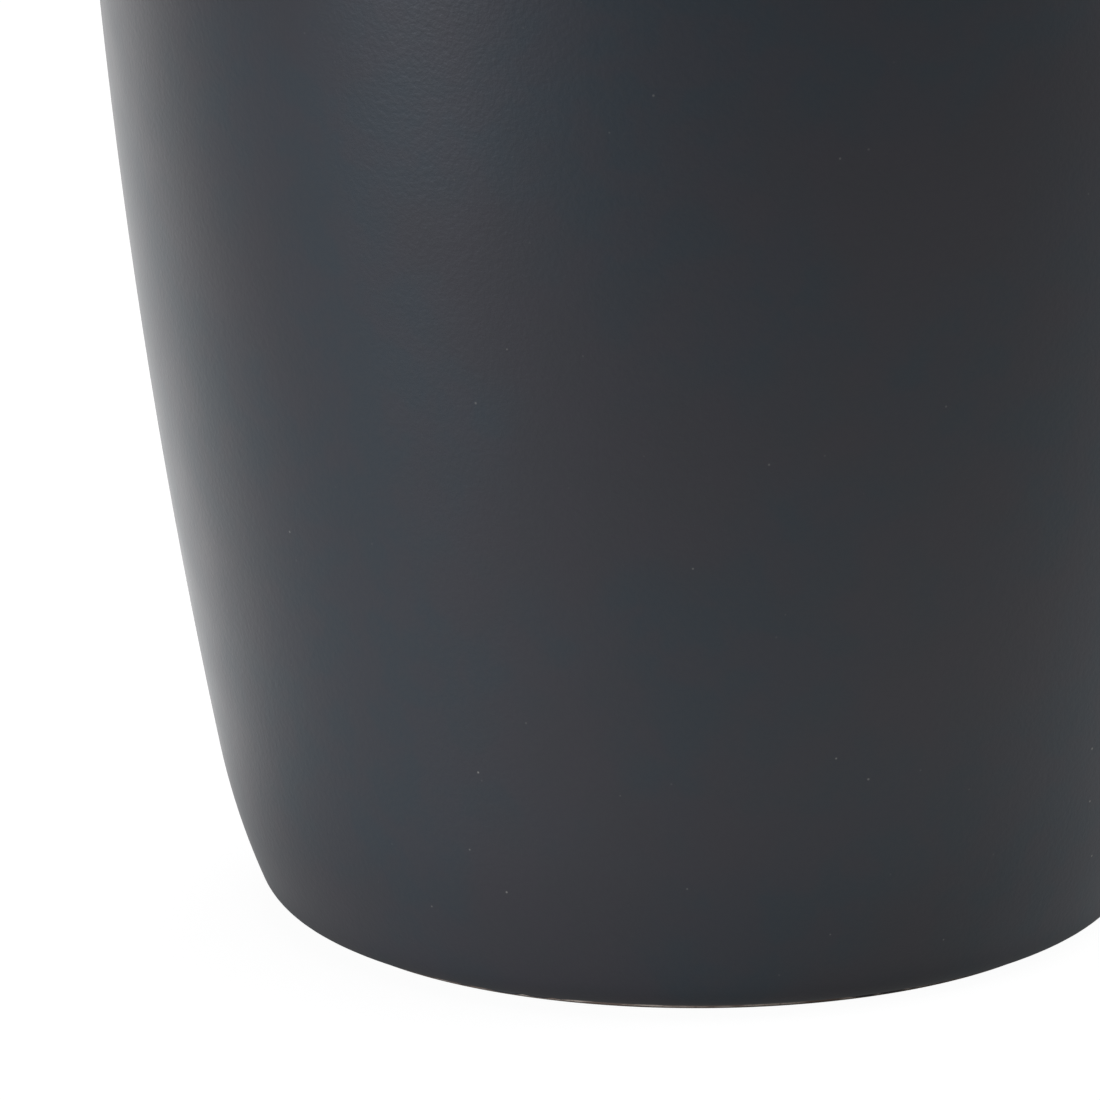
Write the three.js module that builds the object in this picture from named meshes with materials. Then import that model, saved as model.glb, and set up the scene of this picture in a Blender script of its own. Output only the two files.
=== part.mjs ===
// Empty candle jar: a tapered slip-cast stoneware vessel, a turned three-ply bamboo lid and the
// silicone seal ring on the lid's plug. Millimetres, +Z up, origin at the centre of the plane
// that the foot stands on. Every piece is a solid of revolution about Z: its outline is drawn
// in the half plane (radius, height) and turned with LatheGeometry.
import * as THREE from "three";

const degrees = THREE.MathUtils.degToRad;

// Vessel, outside. A slope is the angle of the surface's normal below the horizontal.
const VESSEL_HEIGHT = 100;
const RIM_RADIUS = 45;
const RIM_SLOPE = degrees(1.85); // the wall is all but upright at the rim
const BELLY_SLOPE = degrees(11.4); // where the long belly arc meets the tuck
const TUCK_RADIUS = 50; // the wall draws in faster over its lowest centimetre
const TUCK_SLOPE = degrees(23);
const HEEL_RADIUS = 3.5; // rounding between the wall and the underside
const UNDERSIDE_SLOPE = degrees(72.5); // shallow cone from the foot out to the heel
const FOOT_RADIUS = 28.75;
const FOOT_HEIGHT = 0.2; // bare clay standing proud of the glazed underside
const FOOT_CHAMFER = 0.1;

// Vessel, inside and underneath.
const WALL = 4.2;
const LIP_RADIUS = 1.4; // rounding on both sides of the rim
const FLOOR_CORNER_RADIUS = 7.5;
const RECESS_DEPTH = 1.2; // label recess inside the foot ring
const RECESS_RADIUS = 23.75;
const FOOT_RING_INNER_RADIUS = 25;

// Lid: an 18 mm board of three equal plies, turned to a flange above and a plug below.
const PLY = 6;
const FLANGE_THICKNESS = 9;
const FLANGE_RADIUS = 45.5;
const FLANGE_ROUNDING = 1.2;
const PLUG_RADIUS = 39.5;
const CHAMFER = 0.6;
const GROOVE_RADIUS = 37.5;
const GROOVE_HEIGHT = 4;
const GROOVE_ABOVE_PLUG_BOTTOM = 1;

// Seal ring: a band in the plug's groove, with fins that reach up and out to the mouth.
const RING_CLEARANCE = 0.3; // to the groove
const FIN_CLEARANCE = 0.2; // to the mouth
const BAND_THICKNESS = 1.2;
const FIN_COUNT = 3;
const FIN_THICKNESS = 0.5;
const FIN_RISE = 0.3;

// How finely round shapes are cut into flats.
const SEGMENTS = 72;
const CHORD_ERROR = 0.05;

// The step from an arc's centre to its point with the given normal slope.
function reach(radius, slope) {
  return new THREE.Vector2(radius * Math.cos(slope), -radius * Math.sin(slope));
}

// The step along an arc while its normal's slope turns from one angle to another.
function turn(radius, fromSlope, toSlope) {
  return reach(radius, toSlope).sub(reach(radius, fromSlope));
}

// A path of straight lines and arcs through points (radius, height).
class Outline {
  constructor(radius, height) {
    this.points = [new THREE.Vector2(radius, height)];
  }

  get end() {
    return this.points[this.points.length - 1];
  }

  line(radius, height) {
    this.points.push(new THREE.Vector2(radius, height));
    return this;
  }

  arc(radius, fromSlope, toSlope) {
    const start = this.end;
    const sweep = toSlope - fromSlope;
    const steps = Math.ceil(Math.abs(sweep) / (2 * Math.acos(1 - CHORD_ERROR / radius)));
    for (let step = 1; step <= steps; step++) {
      const point = turn(radius, fromSlope, fromSlope + (sweep * step) / steps).add(start);
      this.line(point.x, point.y);
    }
    return this;
  }

  toAxis() {
    return this.line(0, this.end.y);
  }

  toStart() {
    return this.line(this.points[0].x, this.points[0].y);
  }
}

function turned(name, outline, material) {
  const geometry = new THREE.LatheGeometry(outline.points, SEGMENTS);
  geometry.rotateX(Math.PI / 2);
  const mesh = new THREE.Mesh(geometry, material);
  mesh.name = name;
  return mesh;
}

// Two lengths are free to make the outer wall run from the foot to the rim exactly: how long
// the underside's cone is, and the radius of the belly arc.
const cone = new THREE.Vector2(Math.sin(UNDERSIDE_SLOPE), Math.cos(UNDERSIDE_SLOPE));
const bellyArc = turn(1, BELLY_SLOPE, RIM_SLOPE);
const span = new THREE.Vector2(RIM_RADIUS - FOOT_RADIUS, VESSEL_HEIGHT - FOOT_HEIGHT)
  .sub(turn(HEEL_RADIUS, UNDERSIDE_SLOPE, TUCK_SLOPE))
  .sub(turn(TUCK_RADIUS, TUCK_SLOPE, BELLY_SLOPE));
const coneLength = span.cross(bellyArc) / cone.cross(bellyArc);
const outerWallRadius = cone.cross(span) / cone.cross(bellyArc);

// The inner wall is an arc about the same centre.
const innerWallRadius = outerWallRadius - WALL;
const wallCentre = new THREE.Vector2(RIM_RADIUS, VESSEL_HEIGHT).sub(reach(outerWallRadius, RIM_SLOPE));

function mouthRadius(height) {
  return wallCentre.x + Math.sqrt(innerWallRadius ** 2 - (height - wallCentre.y) ** 2);
}

// From the axis under the base, over the foot, up the wall, over the rim, and down the inside
// to the axis again.
function vesselOutline() {
  const lipDrop = wallCentre.y - VESSEL_HEIGHT + LIP_RADIUS;
  const outerLipSlope = Math.asin(lipDrop / (outerWallRadius - LIP_RADIUS));
  const innerLipSlope = Math.asin(lipDrop / (innerWallRadius + LIP_RADIUS));
  const innerLipCentre = reach(innerWallRadius + LIP_RADIUS, innerLipSlope).add(wallCentre);
  return new Outline(0, RECESS_DEPTH)
    .line(RECESS_RADIUS, RECESS_DEPTH)
    .line(FOOT_RING_INNER_RADIUS, 0)
    .line(FOOT_RADIUS - FOOT_CHAMFER, 0)
    .line(FOOT_RADIUS, FOOT_CHAMFER)
    .line(FOOT_RADIUS, FOOT_HEIGHT)
    .line(FOOT_RADIUS + coneLength * cone.x, FOOT_HEIGHT + coneLength * cone.y)
    .arc(HEEL_RADIUS, UNDERSIDE_SLOPE, TUCK_SLOPE)
    .arc(TUCK_RADIUS, TUCK_SLOPE, BELLY_SLOPE)
    .arc(outerWallRadius, BELLY_SLOPE, outerLipSlope)
    .arc(LIP_RADIUS, outerLipSlope, -Math.PI / 2)
    .line(innerLipCentre.x, VESSEL_HEIGHT)
    .arc(LIP_RADIUS, -Math.PI / 2, innerLipSlope - Math.PI)
    .arc(innerWallRadius, innerLipSlope, BELLY_SLOPE)
    .arc(FLOOR_CORNER_RADIUS, BELLY_SLOPE, Math.PI / 2)
    .toAxis();
}

// The lid's heights count from the underside of its flange, which rests on the rim.
const coreTop = FLANGE_THICKNESS - PLY;
const coreBottom = coreTop - PLY;
const plugBottom = coreBottom - PLY;
const grooveBottom = plugBottom + GROOVE_ABOVE_PLUG_BOTTOM;
const grooveTop = grooveBottom + GROOVE_HEIGHT;

// The upper two thirds of the flange.
function topPlyOutline() {
  return new Outline(0, coreTop)
    .line(FLANGE_RADIUS, coreTop)
    .line(FLANGE_RADIUS, FLANGE_THICKNESS - FLANGE_ROUNDING)
    .arc(FLANGE_ROUNDING, 0, -Math.PI / 2)
    .toAxis();
}

// The step from plug to flange is halfway up this ply.
function corePlyOutline() {
  return new Outline(0, coreBottom)
    .line(PLUG_RADIUS, coreBottom)
    .line(PLUG_RADIUS, 0)
    .line(FLANGE_RADIUS - CHAMFER, 0)
    .line(FLANGE_RADIUS, CHAMFER)
    .line(FLANGE_RADIUS, coreTop)
    .toAxis();
}

function plugPlyOutline() {
  return new Outline(0, plugBottom)
    .line(PLUG_RADIUS - CHAMFER, plugBottom)
    .line(PLUG_RADIUS, plugBottom + CHAMFER)
    .line(PLUG_RADIUS, grooveBottom)
    .line(GROOVE_RADIUS, grooveBottom)
    .line(GROOVE_RADIUS, grooveTop)
    .line(PLUG_RADIUS, grooveTop)
    .line(PLUG_RADIUS, coreBottom)
    .toAxis();
}

function sealRingOutline() {
  const bottom = grooveBottom + RING_CLEARANCE;
  const top = grooveTop - RING_CLEARANCE;
  const inner = GROOVE_RADIUS + RING_CLEARANCE;
  const outer = inner + BAND_THICKNESS;
  const tip = mouthRadius(VESSEL_HEIGHT + bottom) - FIN_CLEARANCE;
  const pitch = (top - bottom) / FIN_COUNT;
  const outline = new Outline(inner, bottom).line(outer, bottom);
  for (let fin = 0; fin < FIN_COUNT; fin++) {
    const root = bottom + pitch * (fin + 0.5) - (FIN_THICKNESS + FIN_RISE) / 2;
    outline
      .line(outer, root)
      .line(tip, root + FIN_RISE)
      .line(tip, root + FIN_RISE + FIN_THICKNESS)
      .line(outer, root + FIN_THICKNESS);
  }
  return outline.line(outer, top).line(inner, top).toStart();
}

const stoneware = new THREE.MeshStandardMaterial({ color: 0x36393d, roughness: 0.6, metalness: 0 });
const faceBamboo = new THREE.MeshStandardMaterial({ color: 0xd3ad74, roughness: 0.55, metalness: 0 });
const coreBamboo = new THREE.MeshStandardMaterial({ color: 0xbf935a, roughness: 0.6, metalness: 0 });
const silicone = new THREE.MeshStandardMaterial({ color: 0xe4e6e3, roughness: 0.4, metalness: 0 });

const lid = new THREE.Group();
lid.add(turned("lid_top_ply", topPlyOutline(), faceBamboo));
lid.add(turned("lid_core_ply", corePlyOutline(), coreBamboo));
lid.add(turned("lid_plug_ply", plugPlyOutline(), faceBamboo));
lid.add(turned("seal_ring", sealRingOutline(), silicone));
lid.position.z = VESSEL_HEIGHT;

const jar = new THREE.Group();
jar.add(turned("vessel", vesselOutline(), stoneware));
jar.add(lid);

export default jar;
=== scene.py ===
"""The looks of the empty candle jar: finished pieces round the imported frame, stage, lights and camera.

Everything is in metres in the jar's own frame: +Z up its axis, origin at the centre of the plane
that the foot stands on. The jar is turned ware, so each piece is an outline in the half plane
(radius, height), spun about Z.
"""
import math

import bpy
import numpy as np
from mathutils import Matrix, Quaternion, Vector


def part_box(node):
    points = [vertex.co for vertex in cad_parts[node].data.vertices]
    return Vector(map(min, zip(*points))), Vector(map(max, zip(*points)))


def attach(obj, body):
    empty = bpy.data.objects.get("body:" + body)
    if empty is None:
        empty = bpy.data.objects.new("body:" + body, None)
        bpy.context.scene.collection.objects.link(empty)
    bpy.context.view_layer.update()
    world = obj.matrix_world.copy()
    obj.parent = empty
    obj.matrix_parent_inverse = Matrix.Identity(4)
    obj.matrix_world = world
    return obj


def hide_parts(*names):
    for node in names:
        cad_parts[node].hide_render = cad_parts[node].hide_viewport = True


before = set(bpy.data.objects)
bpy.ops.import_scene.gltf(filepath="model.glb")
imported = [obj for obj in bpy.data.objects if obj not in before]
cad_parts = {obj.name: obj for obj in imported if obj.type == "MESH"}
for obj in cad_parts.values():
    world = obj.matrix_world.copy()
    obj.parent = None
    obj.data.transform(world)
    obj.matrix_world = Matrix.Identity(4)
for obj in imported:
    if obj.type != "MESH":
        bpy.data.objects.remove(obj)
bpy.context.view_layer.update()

MM = 0.001


# ---------------------------------------------------------------------------
# Outlines
# ---------------------------------------------------------------------------

CHORD_ERROR = 0.003 * MM
ROUNDING_STEP = math.radians(15)


def reach(radius, slope):
    """The step from an arc's centre to its point whose normal points this far below the horizontal."""
    return np.array([radius * math.cos(slope), -radius * math.sin(slope)])


def turn(radius, from_slope, to_slope):
    """The step along an arc while its normal's slope turns from one angle to another."""
    return reach(radius, to_slope) - reach(radius, from_slope)


def cross(a, b):
    return a[0] * b[1] - a[1] * b[0]


def unit(vector):
    return vector / np.linalg.norm(vector)


class Outline:
    """A path of straight lines and arcs through points (radius, height)."""

    def __init__(self, radius, height):
        self.points = [np.array([radius, height])]

    @property
    def end(self):
        return self.points[-1]

    def line(self, radius, height):
        self.points.append(np.array([radius, height]))
        return self

    def arc(self, radius, from_slope, to_slope):
        start = self.end
        sweep = to_slope - from_slope
        steps = math.ceil(abs(sweep) / (2 * math.acos(1 - CHORD_ERROR / radius)))
        for step in range(1, steps + 1):
            self.line(*(start + turn(radius, from_slope, from_slope + sweep * step / steps)))
        return self

    def corner(self, point, beyond, radius):
        """Goes to a corner and rounds it off on the way to the point beyond it."""
        point = np.array(point)
        back = unit(self.end - point)
        onward = unit(np.array(beyond) - point)
        half = math.acos(np.clip(back @ onward, -1, 1)) / 2
        centre = point + unit(back + onward) * radius / math.sin(half)
        spoke = point + back * radius / math.tan(half) - centre
        sweep = math.copysign(math.pi - 2 * half, -cross(back, onward))
        steps = math.ceil(abs(sweep) / ROUNDING_STEP)
        for step in range(steps + 1):
            cos = math.cos(sweep * step / steps)
            sin = math.sin(sweep * step / steps)
            self.line(
                centre[0] + cos * spoke[0] - sin * spoke[1],
                centre[1] + sin * spoke[0] + cos * spoke[1],
            )
        return self

    def corners(self, radius, *points):
        """Rounds every point but the last, which is where the path ends."""
        for point, beyond in zip(points, points[1:]):
            self.corner(point, beyond, radius)
        return self.line(*points[-1])


# ---------------------------------------------------------------------------
# Turned meshes
# ---------------------------------------------------------------------------

SHARP_ANGLE = math.radians(50)
ON_AXIS = 1e-9


def ring(radius, height, angles):
    """The circle that one outline point draws, or a single point if it lies on the axis."""
    if np.max(radius) < ON_AXIS:
        return np.array([[0.0, 0.0, height]])
    return np.stack(
        [radius * np.cos(angles), radius * np.sin(angles), height * np.ones_like(angles)], axis=1
    )


def band(low, high, low_start, high_start):
    """The faces between two rings, whose vertices are numbered from their starts."""
    around = max(len(low), len(high))
    faces = []
    for i in range(around):
        j = (i + 1) % around
        bottom = [low_start] if len(low) == 1 else [low_start + i, low_start + j]
        top = [high_start] if len(high) == 1 else [high_start + j, high_start + i]
        faces.append(bottom + top)
    return faces


def spun(name, rings, closed=False):
    """A piece made of rings that go up its outside. A closed one ends where it began."""
    starts = np.cumsum([0] + [len(r) for r in rings]).tolist()
    follow = list(range(1, len(rings))) + ([0] if closed else [])
    faces = []
    for k, n in enumerate(follow):
        faces += band(rings[k], rings[n], starts[k], starts[n])
    mesh = bpy.data.meshes.new(name)
    mesh.from_pydata(np.concatenate(rings).tolist(), [], faces)
    mesh.shade_smooth()
    mesh.set_sharp_from_angle(angle=SHARP_ANGLE)
    piece = bpy.data.objects.new(name, mesh)
    bpy.context.scene.collection.objects.link(piece)
    return piece


def circle(count):
    return np.arange(count) * (2 * math.pi / count)


def wander(angles, seed, waves):
    """A periodic unevenness round the jar, from -1 to 1. Finer waves are weaker."""
    draw = np.random.default_rng(seed)
    total = np.zeros_like(angles)
    for count in waves:
        total += np.sin(count * angles + draw.uniform(0, 2 * math.pi)) / math.sqrt(count)
    return total / np.abs(total).max()


def settle(piece, body, node):
    """Puts the piece on its body in place of the CAD node that it stands for."""
    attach(piece, body)
    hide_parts(node)


# ---------------------------------------------------------------------------
# Shader helpers
# ---------------------------------------------------------------------------


def srgb(red, green, blue):
    """A linear colour from its screen values, 0 to 255."""
    linear = [
        c / 12.92 if c <= 0.04045 else ((c + 0.055) / 1.055) ** 2.4
        for c in (red / 255, green / 255, blue / 255)
    ]
    return (*linear, 1.0)


class Shader:
    """A node tree written as expressions: each method adds a node and returns its output."""

    def __init__(self, owner):
        owner.use_nodes = True
        self.owner = owner
        self.tree = owner.node_tree
        self.tree.nodes.clear()

    def feed(self, socket, value):
        if isinstance(value, bpy.types.NodeSocket):
            self.tree.links.new(value, socket)
        else:
            socket.default_value = value

    def node(self, kind, inputs, **settings):
        node = self.tree.nodes.new("ShaderNode" + kind)
        for name, value in settings.items():
            setattr(node, name, value)
        for key, value in inputs.items():
            self.feed(node.inputs[key], value)
        return node

    def place(self, what="Object"):
        return self.node("TexCoord", {}).outputs[what]

    def axes(self, vector):
        """The vector's three coordinates."""
        return self.node("SeparateXYZ", {0: vector}).outputs

    def vector(self, x, y, z):
        return self.node("CombineXYZ", {0: x, 1: y, 2: z}).outputs[0]

    def math(self, operation, a, b=0.0, c=0.0):
        return self.node("Math", {0: a, 1: b, 2: c}, operation=operation).outputs[0]

    def times(self, a, b):
        return self.math("MULTIPLY", a, b)

    def plus(self, a, b):
        return self.math("ADD", a, b)

    def noise(self, vector, per_metre, detail, roughness=0.5):
        inputs = {"Vector": vector, "Scale": per_metre, "Detail": detail, "Roughness": roughness}
        return self.node("TexNoise", inputs).outputs[0]

    def cells(self, vector, per_metre, output="Distance", **settings):
        inputs = {"Vector": vector, "Scale": per_metre}
        return self.node("TexVoronoi", inputs, **settings).outputs[output]

    def chance(self, number):
        """A random value from 0 to 1 for each whole number."""
        return self.node("TexWhiteNoise", {"W": number}, noise_dimensions="1D").outputs["Value"]

    def ramp(self, value, low, high, to_low=0.0, to_high=1.0):
        """A smooth step: to_low where value is at low or beyond it, to_high at high or beyond."""
        inputs = {"Value": value, 1: low, 2: high, 3: to_low, 4: to_high}
        return self.node("MapRange", inputs, interpolation_type="SMOOTHSTEP").outputs[0]

    def mix(self, factor, a, b):
        return self.node("Mix", {0: factor, 6: a, 7: b}, data_type="RGBA").outputs[2]

    def bump(self, height, metres):
        """The normal of a surface whose height of 1 stands for so many metres."""
        return self.node("Bump", {"Height": height, "Distance": metres}).outputs[0]

    def surface(self, **inputs):
        """Ends the tree with a Principled surface."""
        named = {name.replace("_", " "): value for name, value in inputs.items()}
        shader = self.node("BsdfPrincipled", named)
        self.node("OutputMaterial", {0: shader.outputs[0]})
        return self.owner


def new_shader(name):
    return Shader(bpy.data.materials.new(name))


# ---------------------------------------------------------------------------
# The vessel
# ---------------------------------------------------------------------------

VESSEL_AROUND = 540
VESSEL_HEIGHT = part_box("vessel")[1].z
RIM_RADIUS = 45 * MM
RIM_SLOPE = math.radians(1.85)
BELLY_SLOPE = math.radians(11.4)
TUCK_RADIUS = 50 * MM
TUCK_SLOPE = math.radians(23)
HEEL_RADIUS = 3.5 * MM
UNDERSIDE_SLOPE = math.radians(72.5)
FOOT_RADIUS = 28.75 * MM
FOOT_HEIGHT = 0.2 * MM
FOOT_ROUNDING = 0.04 * MM
WALL = 4.2 * MM
LIP_RADIUS = 1.4 * MM
FLOOR_CORNER_RADIUS = 7.5 * MM
RECESS_DEPTH = 1.2 * MM
RECESS_RADIUS = 23.75 * MM
RECESS_ROUNDING = 0.3 * MM
FOOT_RING_INNER_RADIUS = 25 * MM

GLAZE_THICKNESS = 0.06 * MM
GLAZE_EDGE = 0.12 * MM  # how far from its edge the glaze reaches its full thickness
GLAZE_LINE_OUT = 0.04 * MM  # on average the glaze ends this far out from the foot
GLAZE_LINE_WANDER = 0.35 * MM
GLAZE_LINE_LOWEST = 0.18 * MM  # how far it runs down the foot at most
GLAZE_LINE_SEED = 1775
GLAZE_LINE_WAVES = (5, 8, 13, 21, 34, 55, 89, 144)
GLAZE_LINE_MARGIN = 0.03 * MM  # the bare ring next to the glaze keeps at least this far from it
GLAZE_EDGE_STEPS = np.array([0.02, 0.05, 0.1, 0.2, 0.45]) * MM

# The sizes of what shows in the glaze and in the bare clay.
CLOUD_SIZE = 18 * MM
MOTTLE_SIZE = 3.6 * MM
PEEL_SIZE = 1.5 * MM
PEEL_RELIEF = 0.008 * MM
GRAIN_SIZE = 0.4 * MM
GRAIN_RELIEF = 0.02 * MM
PINHOLE_SPACING = 2.6 * MM
PINHOLE_RADIUS = 0.12 * MM
PINHOLES_DENSE = 20 * MM  # below this height the pinholes are strongest
PINHOLES_FAINT = 45 * MM  # above this height they are weakest
GRIT_SIZE = 0.3 * MM
CLAY_RELIEF = 0.04 * MM
LINE_LENGTH = 2.5 * MM
LINE_PITCH = 0.1 * MM
PAINTED_SHADE_LOW = 0.07 * MM  # painted contact shade darkens the clay most up to here
PAINTED_SHADE_HIGH = 0.13 * MM

CLOUD_NEUTRAL = srgb(55, 55, 60)
CLOUD_BLUE = srgb(48, 56, 63)
MOTTLE_COLOUR = srgb(57, 55, 61)
GRAIN_COLOUR = srgb(60, 62, 64)
THIN_GLAZE = srgb(86, 79, 72)
PINHOLE_COLOUR = srgb(150, 148, 142)
CLAY_DARK = srgb(126, 108, 96)
CLAY_LIGHT = srgb(206, 192, 176)
GRIT_COLOUR = srgb(112, 98, 88)
PAINTED_SHADE_COLOUR = srgb(70, 58, 50)

# The underside's cone and the belly's arc are as long and as round as the rest leaves them.
cone = np.array([math.sin(UNDERSIDE_SLOPE), math.cos(UNDERSIDE_SLOPE)])
belly_arc = turn(1, BELLY_SLOPE, RIM_SLOPE)
span = (
    np.array([RIM_RADIUS - FOOT_RADIUS, VESSEL_HEIGHT - FOOT_HEIGHT])
    - turn(HEEL_RADIUS, UNDERSIDE_SLOPE, TUCK_SLOPE)
    - turn(TUCK_RADIUS, TUCK_SLOPE, BELLY_SLOPE)
)
cone_length = cross(span, belly_arc) / cross(cone, belly_arc)
outer_wall_radius = cross(cone, span) / cross(cone, belly_arc)
inner_wall_radius = outer_wall_radius - WALL
wall_centre = np.array([RIM_RADIUS, VESSEL_HEIGHT]) - reach(outer_wall_radius, RIM_SLOPE)


def clay_outline():
    """The recess under the base and the foot ring, as far as the foot's outer edge."""
    return Outline(0.0, RECESS_DEPTH).corners(
        RECESS_ROUNDING, (RECESS_RADIUS, RECESS_DEPTH), (FOOT_RING_INNER_RADIUS, 0.0),
        (FOOT_RADIUS - RECESS_ROUNDING, 0.0),
    ).corner((FOOT_RADIUS, 0.0), (FOOT_RADIUS, FOOT_HEIGHT), FOOT_ROUNDING)


def glazed_outline():
    """From the heel up the wall, over the rim and down to the middle of the floor."""
    heel = np.array([FOOT_RADIUS, FOOT_HEIGHT]) + cone_length * cone
    lip_drop = wall_centre[1] - VESSEL_HEIGHT + LIP_RADIUS
    outer_slope = math.asin(lip_drop / (outer_wall_radius - LIP_RADIUS))
    inner_slope = math.asin(lip_drop / (inner_wall_radius + LIP_RADIUS))
    inner_lip = wall_centre + reach(inner_wall_radius + LIP_RADIUS, inner_slope)
    outline = (
        Outline(*heel)
        .arc(HEEL_RADIUS, UNDERSIDE_SLOPE, TUCK_SLOPE)
        .arc(TUCK_RADIUS, TUCK_SLOPE, BELLY_SLOPE)
        .arc(outer_wall_radius, BELLY_SLOPE, outer_slope)
        .arc(LIP_RADIUS, outer_slope, -math.pi / 2)
        .line(inner_lip[0], VESSEL_HEIGHT)
        .arc(LIP_RADIUS, -math.pi / 2, inner_slope - math.pi)
        .arc(inner_wall_radius, inner_slope, BELLY_SLOPE)
        .arc(FLOOR_CORNER_RADIUS, BELLY_SLOPE, math.pi / 2)
    )
    return outline.line(0.0, outline.end[1])


def glaze_line_rings(angles):
    """Rings across the uneven lower edge of the glaze, and how many of them lie on bare clay.

    A place on this stretch is its distance from the clay's corner above the foot: negative down
    the foot's side, positive out along the cone. The glaze lies on the clay.
    """
    corner = np.array([FOOT_RADIUS, FOOT_HEIGHT + GLAZE_THICKNESS / cone[0]])
    line = GLAZE_LINE_OUT + wander(angles, GLAZE_LINE_SEED, GLAZE_LINE_WAVES) * GLAZE_LINE_WANDER
    line = np.maximum(line, -GLAZE_LINE_LOWEST)
    bare = [np.minimum(line - GLAZE_LINE_MARGIN, 0), line]
    glazed = [line + step for step in GLAZE_EDGE_STEPS]
    rings = []
    for place in bare + glazed:
        glaze = GLAZE_THICKNESS * np.sqrt(np.clip((place - line) / GLAZE_EDGE, 0, 1))
        on_foot = place < 0
        radius = corner[0] + np.maximum(place, 0) * cone[0] + glaze * np.where(on_foot, 1, cone[1])
        height = corner[1] + np.where(on_foot, place, place * cone[1] - glaze * cone[0])
        rings.append(ring(radius, height, angles))
    return rings, len(bare)


def glaze_material():
    """Matte slate glaze: faint blue and neutral mottling, a fine grain, and sparse pinholes."""
    s = new_shader("slate_glaze")
    place = s.place()
    height = s.axes(place)[2]
    cloud = s.noise(place, 1 / CLOUD_SIZE, 3, 0.55)
    mottle = s.noise(place, 1 / MOTTLE_SIZE, 2, 0.5)
    grain = s.noise(place, 1 / GRAIN_SIZE, 2, 0.6)
    peel = s.noise(place, 1 / PEEL_SIZE, 2, 0.5)

    base = s.mix(s.ramp(cloud, 0.38, 0.62), CLOUD_NEUTRAL, CLOUD_BLUE)
    base = s.mix(s.ramp(mottle, 0.4, 0.6, 0, 0.5), base, MOTTLE_COLOUR)
    base = s.mix(s.ramp(grain, 0.35, 0.7, 0, 0.2), base, GRAIN_COLOUR)

    # Over the lip the glaze is thin, and the clay shows through a little.
    on_lip = s.ramp(height, VESSEL_HEIGHT - LIP_RADIUS, VESSEL_HEIGHT)
    thin = s.times(on_lip, s.ramp(mottle, 0.3, 0.7))
    base = s.mix(s.times(thin, 0.5), base, THIN_GLAZE)

    # A pinhole shows as a speck. They are strongest low on the wall.
    speck = s.cells(place, 1 / PINHOLE_SPACING)
    strength = s.ramp(s.axes(s.cells(place, 1 / PINHOLE_SPACING, "Color"))[0], 0.2, 1, 0.15, 1)
    in_cells = PINHOLE_RADIUS / PINHOLE_SPACING
    pinhole = s.times(s.ramp(speck, 0.4 * in_cells, in_cells, 1, 0), strength)
    pinhole = s.times(pinhole, s.ramp(height, PINHOLES_DENSE, PINHOLES_FAINT, 1, 0.4))
    base = s.mix(s.times(pinhole, 0.8), base, PINHOLE_COLOUR)

    relief = s.plus(s.times(grain, GRAIN_RELIEF / MM), s.times(peel, PEEL_RELIEF / MM))
    roughness = s.ramp(cloud, 0.3, 0.7, 0.38, 0.42)
    return s.surface(Base_Color=base, Roughness=roughness, Normal=s.bump(relief, MM))


def clay_material():
    """Bare fired clay: warm and gritty, with fine turning lines, and painted contact shade where it
    stands.
    """
    s = new_shader("bare_clay")
    place = s.place()
    x, y, z = s.axes(place)
    grit = s.noise(place, 1 / GRIT_SIZE, 3, 0.6)

    # Radius plus height grows across the flat base as well as up the foot's side, so the lines
    # run round the axis on both.
    radius = s.node("VectorMath", {0: s.vector(x, y, 0.0)}, operation="LENGTH").outputs["Value"]
    across = s.times(s.plus(radius, z), 1 / LINE_PITCH)
    along_x = s.times(x, 1 / LINE_LENGTH)
    along_y = s.times(y, 1 / LINE_LENGTH)
    line = s.noise(s.vector(along_x, along_y, across), 1, 2)
    base = s.mix(s.ramp(line, 0.42, 0.58), CLAY_DARK, CLAY_LIGHT)
    base = s.mix(s.ramp(grit, 0.5, 0.68, 0, 0.6), base, GRIT_COLOUR)
    # Painted contact shade: the clay darkens towards the bottom edge of the foot, where it meets the
    # floor.
    base = s.mix(s.ramp(z, PAINTED_SHADE_LOW, PAINTED_SHADE_HIGH, 0.8, 0), base, PAINTED_SHADE_COLOUR)
    relief = s.plus(s.times(grit, 0.5), s.times(line, 0.5))
    return s.surface(Base_Color=base, Roughness=0.9, Normal=s.bump(relief, CLAY_RELIEF))


def build_vessel():
    angles = circle(VESSEL_AROUND)
    clay = [ring(*point, angles) for point in clay_outline().points]
    edge, bare = glaze_line_rings(angles)
    glazed = [ring(*point, angles) for point in glazed_outline().points]
    piece = spun("vessel_stoneware", clay + edge + glazed)
    piece.data.materials.append(glaze_material())
    piece.data.materials.append(clay_material())
    # A band of faces lies between each ring and the next, and the bands of bare clay come first.
    for face in piece.data.polygons[: VESSEL_AROUND * (len(clay) + bare - 1)]:
        face.material_index = 1
    settle(piece, "vessel", "vessel")


# ---------------------------------------------------------------------------
# The lid's three plies
# ---------------------------------------------------------------------------

LID_AROUND = 288
FLANGE_ROUNDING = 1.2 * MM
CHAMFER = 0.6 * MM
EDGE_ROUNDING = 0.12 * MM

# The groove for the seal ring keeps a small clearance to it.
RING_CLEARANCE = 0.3 * MM
GROOVE_RADIUS = 37.5 * MM
ring_low, ring_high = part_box("seal_ring")
groove_bottom = ring_low.z - RING_CLEARANCE
groove_top = ring_high.z + RING_CLEARANCE

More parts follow.
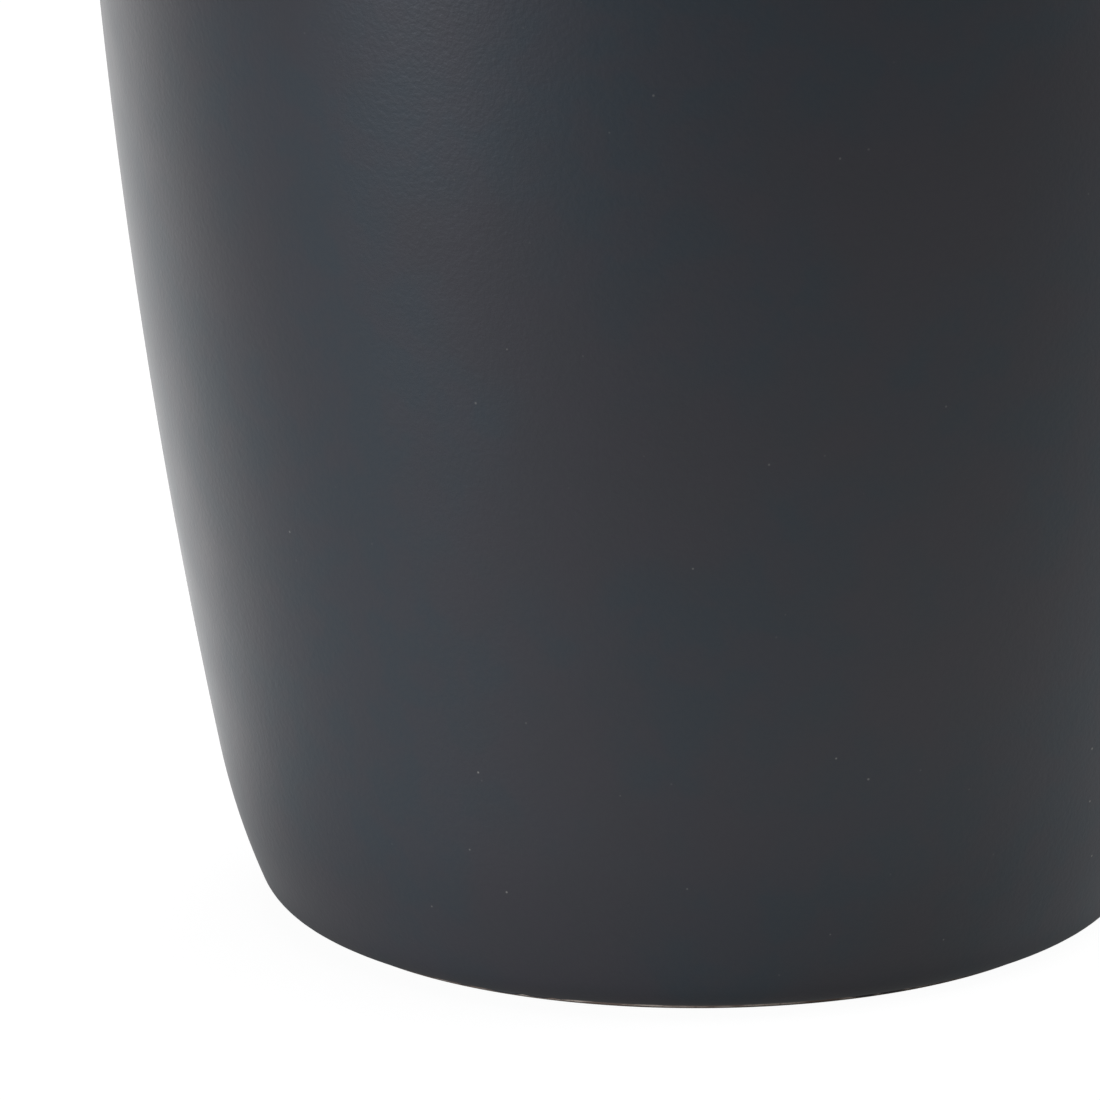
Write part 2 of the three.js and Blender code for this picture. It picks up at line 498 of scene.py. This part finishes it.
STRIP_WIDTH = 5.6 * MM
BUNDLE_PITCH = 0.5 * MM
SWAY_PER_METRE = 60  # how often a bundle changes course along its strip
SWAY_ACROSS = 1.2 * MM
SWAY_UP = 2.4 * MM
STREAKS_ALONG = 25  # per metre
STREAKS_ACROSS = 900
NODE_SPACING = 210 * MM
NODE_FRAY = 3 * MM
NODE_CORE = 0.4 * MM
NODE_REACH = 1.1 * MM
GLUE_CORE = 0.02 * MM
GLUE_REACH = 0.1 * MM
FIBRE_RELIEF = 0.02 * MM

BAMBOO_PALE = srgb(216, 178, 122)
BAMBOO_CARAMEL = srgb(198, 157, 101)
STREAK_COLOUR = srgb(184, 140, 86)
FIBRE_COLOUR = srgb(150, 105, 60)
NODE_COLOUR = srgb(139, 96, 55)
GLUE_COLOUR = srgb(120, 82, 46)
END_GRAIN_COLOUR = srgb(140, 98, 58)


def bamboo_material(name, along, seed):
    """Upright strips of caramel bamboo glued side by side, their fibres along X or Y.

    The pattern is solid: fibre bundles are dots on an end and lines on a face.
    """
    s = new_shader(name)
    x, y, z = s.axes(s.place())
    length, across = (x, y) if along == "x" else (y, x)

    strip = s.plus(s.math("DIVIDE", across, STRIP_WIDTH), seed)
    number = s.math("FLOOR", strip)
    inside = s.math("FRACT", strip)
    tone = s.chance(number)

    # Each strip is cut from its own place in the culm, up to a metre further along.
    own = s.plus(length, s.chance(s.plus(number, 0.5)))

    # Bundles sway slowly along the strip, so a face cuts each one only for a stretch.
    sway = s.noise(s.vector(s.times(own, SWAY_PER_METRE), s.times(number, 3.7), 0.0), 1, 2)
    bundle_place = s.vector(
        s.plus(across, s.times(sway, SWAY_ACROSS)), s.plus(z, s.times(sway, SWAY_UP)), 0.0
    )
    bundle = s.cells(bundle_place, 1 / BUNDLE_PITCH, voronoi_dimensions="2D")
    size = s.ramp(inside, 0, 1, 0.30, 0.42)
    fibre = s.ramp(s.math("DIVIDE", bundle, size), 0.55, 1.1, 1, 0)
    streak_place = s.vector(
        s.times(own, STREAKS_ALONG), s.times(across, STREAKS_ACROSS), s.times(z, STREAKS_ACROSS)
    )
    streak = s.noise(streak_place, 1, 3, 0.6)

    facing = s.axes(s.place("Normal"))[0 if along == "x" else 1]
    end_grain = s.ramp(s.math("ABSOLUTE", facing), 0.55, 1.0)

    # A node of the culm crosses the strip as a darker band with frayed edges. Ends don't show it.
    along_culm = s.math("FRACT", s.math("DIVIDE", own, NODE_SPACING))
    off_node = s.times(s.math("ABSOLUTE", s.math("SUBTRACT", along_culm, 0.5)), NODE_SPACING)
    frayed = s.plus(off_node, s.times(s.math("SUBTRACT", streak, 0.5), NODE_FRAY))
    knuckle = s.ramp(frayed, NODE_CORE, NODE_REACH, 1, 0)
    knuckle = s.times(knuckle, s.math("SUBTRACT", 1.0, end_grain))

    base = s.mix(tone, BAMBOO_PALE, BAMBOO_CARAMEL)
    base = s.mix(s.ramp(streak, 0.35, 0.7, 0, 0.55), base, STREAK_COLOUR)
    base = s.mix(s.times(fibre, 0.55), base, FIBRE_COLOUR)
    base = s.mix(s.times(knuckle, 0.6), base, NODE_COLOUR)
    joint = s.times(s.math("MINIMUM", inside, s.math("SUBTRACT", 1.0, inside)), STRIP_WIDTH)
    base = s.mix(s.ramp(joint, GLUE_CORE, GLUE_REACH, 0.5, 0), base, GLUE_COLOUR)
    base = s.mix(s.times(end_grain, 0.35), base, END_GRAIN_COLOUR)

    height = s.plus(s.times(fibre, -0.6), s.times(streak, 0.4))
    roughness = s.plus(s.ramp(streak, 0.3, 0.7, 0.42, 0.54), s.times(fibre, 0.06))
    return s.surface(Base_Color=base, Roughness=roughness, Normal=s.bump(height, FIBRE_RELIEF))


def build_ply(node, outline, along, slot, seed):
    angles = circle(LID_AROUND)
    piece = spun(node.replace("lid", "bamboo"), [ring(*point, angles) for point in outline.points])
    piece.data.materials.append(bamboo_material(slot + "_" + node, along, seed))
    settle(piece, "lid", node)


def top_ply_outline():
    low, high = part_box("lid_top_ply")
    outline = Outline(0.0, low.z)
    outline.corner((high.x, low.z), high.xz, EDGE_ROUNDING)
    outline.corner(high.xz, (0.0, high.z), FLANGE_ROUNDING)
    return outline.line(0.0, high.z)


def core_ply_outline():
    low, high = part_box("lid_core_ply")
    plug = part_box("lid_plug_ply")[1].x
    chamfer_start = (high.x - CHAMFER, VESSEL_HEIGHT)
    chamfer_end = (high.x, VESSEL_HEIGHT + CHAMFER)
    step = (plug, VESSEL_HEIGHT)
    corners = [(plug, low.z), step, chamfer_start, chamfer_end, high.xz, (0.0, high.z)]
    return Outline(0.0, low.z).corners(EDGE_ROUNDING, *corners)


def plug_ply_outline():
    low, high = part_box("lid_plug_ply")
    chamfer = [(high.x - CHAMFER, low.z), (high.x, low.z + CHAMFER)]
    groove = [
        (high.x, groove_bottom),
        (GROOVE_RADIUS, groove_bottom),
        (GROOVE_RADIUS, groove_top),
        (high.x, groove_top),
    ]
    corners = chamfer + groove + [high.xz, (0.0, high.z)]
    return Outline(0.0, low.z).corners(EDGE_ROUNDING, *corners)


def build_lid():
    build_ply("lid_top_ply", top_ply_outline(), "x", "bamboo_face", 0.37)
    build_ply("lid_core_ply", core_ply_outline(), "y", "bamboo_core", 0.81)
    build_ply("lid_plug_ply", plug_ply_outline(), "x", "bamboo_face", 0.52)


# ---------------------------------------------------------------------------
# The seal ring
# ---------------------------------------------------------------------------

BAND_THICKNESS = 1.2 * MM
FIN_COUNT = 3
FIN_THICKNESS = 0.5 * MM
FIN_RISE = 0.3 * MM
FIN_ROUNDING = 0.18 * MM

DUST_PER_METRE = 1500
DUST_RELIEF = 0.004 * MM
SILICONE_COLOUR = srgb(246, 243, 237)
DUST_COLOUR = srgb(232, 229, 221)


def silicone_material():
    """Milky silicone, faintly dusty."""
    s = new_shader("silicone")
    dust = s.noise(s.place(), DUST_PER_METRE, 3, 0.6)
    base = s.mix(s.ramp(dust, 0.45, 0.7), SILICONE_COLOUR, DUST_COLOUR)
    return s.surface(
        Base_Color=base,
        Roughness=s.ramp(dust, 0.3, 0.7, 0.34, 0.5),
        Subsurface_Weight=0.6,
        Subsurface_Radius=(1, 1, 1),
        Subsurface_Scale=1 * MM,
        Normal=s.bump(dust, DUST_RELIEF),
    )


def build_seal():
    inner = GROOVE_RADIUS + RING_CLEARANCE
    outer = inner + BAND_THICKNESS
    tip = ring_high.x
    bottom, top = ring_low.z, ring_high.z
    pitch = (top - bottom) / FIN_COUNT
    points = [(outer, bottom)]
    for fin in range(FIN_COUNT):
        root = bottom + pitch * (fin + 0.5) - (FIN_THICKNESS + FIN_RISE) / 2
        points += [
            (outer, root),
            (tip, root + FIN_RISE),
            (tip, root + FIN_RISE + FIN_THICKNESS),
            (outer, root + FIN_THICKNESS),
        ]
    points += [(outer, top), (inner, top), (inner, bottom)]
    outline = Outline((inner + outer) / 2, bottom)
    for point, beyond in zip(points, points[1:] + [tuple(outline.points[0])]):
        outline.corner(point, beyond, FIN_ROUNDING)
    angles = circle(LID_AROUND)
    piece = spun("silicone_seal", [ring(*p, angles) for p in outline.points], closed=True)
    piece.data.materials.append(silicone_material())
    settle(piece, "seal", "seal_ring")


build_vessel()
build_lid()
build_seal()


# ---------------------------------------------------------------------------
# Stage, lights and camera
# ---------------------------------------------------------------------------

FLOOR_SIZE = 6.0
DIM_SIDE = math.radians(30)  # the azimuth at which the floor gives the jar least light
DIM_GLOW = 0.6
NEAR_GLOW = 1.65
NEAR_FOCUS = 6.0  # the higher, the more the glow gathers on the side away from the dim one
FAR_GLOW = 1.2
FAR_FOCUS = 16.0
NEAR_REACH = 200 * MM
CONTACT_SHADE = 0.45
CONTACT_REACH = 70 * MM
CREVICE_SHADE = 0.6
CREVICE_REACH = 35 * MM
PAPER_COLOUR = (0.1, 0.1, 0.1, 1)
PAPER_DIMMEST = 0.96  # how bright the paper looks within PAPER_NEAR of the jar
PAPER_NEAR = 200 * MM
PAPER_FAR = 800 * MM  # it is all white from here
WORLD_STRENGTH = 0.08
WHITE = (1, 1, 1, 1)

LIGHT_DISTANCE = 0.7
COOL = (0.94, 0.99, 1.1)

CAMERA_DISTANCE = 1.5
CAMERA_ELEVATION = math.radians(15.2)
CAMERA_ROLL = math.radians(-0.18)
CAMERA_AIM = Vector((-10.71 * MM, 0, 25.82 * MM))
FRAME_WIDTH = 79.71 * MM  # what the picture spans at the point that the camera looks at


def toward(azimuth, elevation):
    """A direction from the jar. Azimuth 0 is the camera's side, 90 its right, 180 behind."""
    return Vector((
        math.sin(azimuth) * math.cos(elevation),
        -math.cos(azimuth) * math.cos(elevation),
        math.sin(elevation),
    ))


def floor_glow(s, place, radius):
    """What the jar gets from the floor, in place of a studio's light.

    The glow is bright behind the jar on the left, fades round to the dim side at the front on the
    right, and darkens close to the foot.
    """
    outward = s.node("VectorMath", {0: place}, operation="NORMALIZE").outputs[0]
    dimness = s.node("VectorMath", {0: outward, 1: toward(DIM_SIDE, 0)}, operation="DOT_PRODUCT")
    away = s.math("MULTIPLY_ADD", dimness.outputs["Value"], -0.5, 0.5)
    near = s.math("MULTIPLY_ADD", s.math("POWER", away, NEAR_FOCUS), NEAR_GLOW, DIM_GLOW)
    far = s.times(s.math("POWER", away, FAR_FOCUS), FAR_GLOW)
    spread = s.math("MULTIPLY_ADD", s.times(radius, radius), NEAR_REACH**-2, 1.0)
    nearness = s.math("DIVIDE", 1.0, spread)
    strength = s.plus(s.times(nearness, near), s.times(s.math("SUBTRACT", 1.0, nearness), far))
    shade = s.times(
        s.ramp(radius, FOOT_RADIUS, CONTACT_REACH, 1 - CONTACT_SHADE, 1),
        s.ramp(radius, FOOT_RADIUS, CREVICE_REACH, 1 - CREVICE_SHADE, 1),
    )
    return s.node("Emission", {0: WHITE, 1: s.times(strength, shade)}).outputs[0]


def floor_face(s, radius):
    """What the camera sees of the floor: all but white, and a trace darker round the jar."""
    paper = s.node("BsdfDiffuse", {0: PAPER_COLOUR}).outputs[0]
    brightness = s.ramp(radius, PAPER_NEAR, PAPER_FAR, PAPER_DIMMEST, 1.0)
    glow = s.node("Emission", {0: WHITE, 1: brightness}).outputs[0]
    return s.node("AddShader", {0: paper, 1: glow}).outputs[0]


def build_floor():
    mesh = bpy.data.meshes.new("floor")
    half = FLOOR_SIZE / 2
    corners = [(-half, -half, 0), (half, -half, 0), (half, half, 0), (-half, half, 0)]
    mesh.from_pydata(corners, [], [(0, 1, 2, 3)])
    floor = bpy.data.objects.new("floor", mesh)
    bpy.context.scene.collection.objects.link(floor)
    s = new_shader("floor")
    place = s.place()
    radius = s.node("VectorMath", {0: place}, operation="LENGTH").outputs["Value"]
    seen = s.node("LightPath", {}).outputs["Is Camera Ray"]
    sides = {0: seen, 1: floor_glow(s, place, radius), 2: floor_face(s, radius)}
    s.node("OutputMaterial", {0: s.node("MixShader", sides).outputs[0]})
    mesh.materials.append(s.owner)


def build_world():
    world = bpy.data.worlds.new("studio")
    bpy.context.scene.world = world
    s = Shader(world)
    seen = s.node("LightPath", {}).outputs["Is Camera Ray"]
    strength = s.ramp(seen, 0, 1, WORLD_STRENGTH, 1.0)
    background = s.node("Background", {0: WHITE, 1: strength})
    s.node("OutputWorld", {0: background.outputs[0]})


def soft_light(name, azimuth, elevation, size, power, colour=(1, 1, 1)):
    """A square light aimed at the jar: angles in degrees, size in metres, power in watts."""
    data = bpy.data.lights.new(name, "AREA")
    data.shape = "SQUARE"
    data.size = size
    data.energy = power
    data.color = colour
    light = bpy.data.objects.new(name, data)
    bpy.context.scene.collection.objects.link(light)
    away = toward(math.radians(azimuth), math.radians(elevation))
    light.location = Vector((0, 0, VESSEL_HEIGHT / 2)) + LIGHT_DISTANCE * away
    light.rotation_mode = "QUATERNION"
    light.rotation_quaternion = away.to_track_quat("Z", "Y")
    light.visible_camera = False


def build_lights():
    soft_light("low_left", -51, 3, 0.14, 2.4, COOL)
    soft_light("low_right", 90, 10, 0.3, 1.1, COOL)
    soft_light("top", 0, 88, 0.5, 4)
    soft_light("high_back", 150, 55, 0.5, 2)
    soft_light("high_right", 95, 42, 0.4, 1.5)


def build_camera():
    data = bpy.data.cameras.new("camera")
    camera = bpy.data.objects.new("camera", data)
    bpy.context.scene.collection.objects.link(camera)
    back = toward(0, CAMERA_ELEVATION)
    camera.location = Vector((0, 0, VESSEL_HEIGHT / 2)) + CAMERA_DISTANCE * back
    sight = CAMERA_AIM - camera.location
    camera.rotation_mode = "QUATERNION"
    roll = Quaternion((0, 0, 1), CAMERA_ROLL)
    camera.rotation_quaternion = sight.to_track_quat("-Z", "Y") @ roll
    data.lens = data.sensor_width * sight.length / FRAME_WIDTH
    data.clip_start = 0.01
    bpy.context.scene.camera = camera


bpy.context.scene.view_settings.view_transform = "Standard"
build_world()
build_floor()
build_lights()
build_camera()
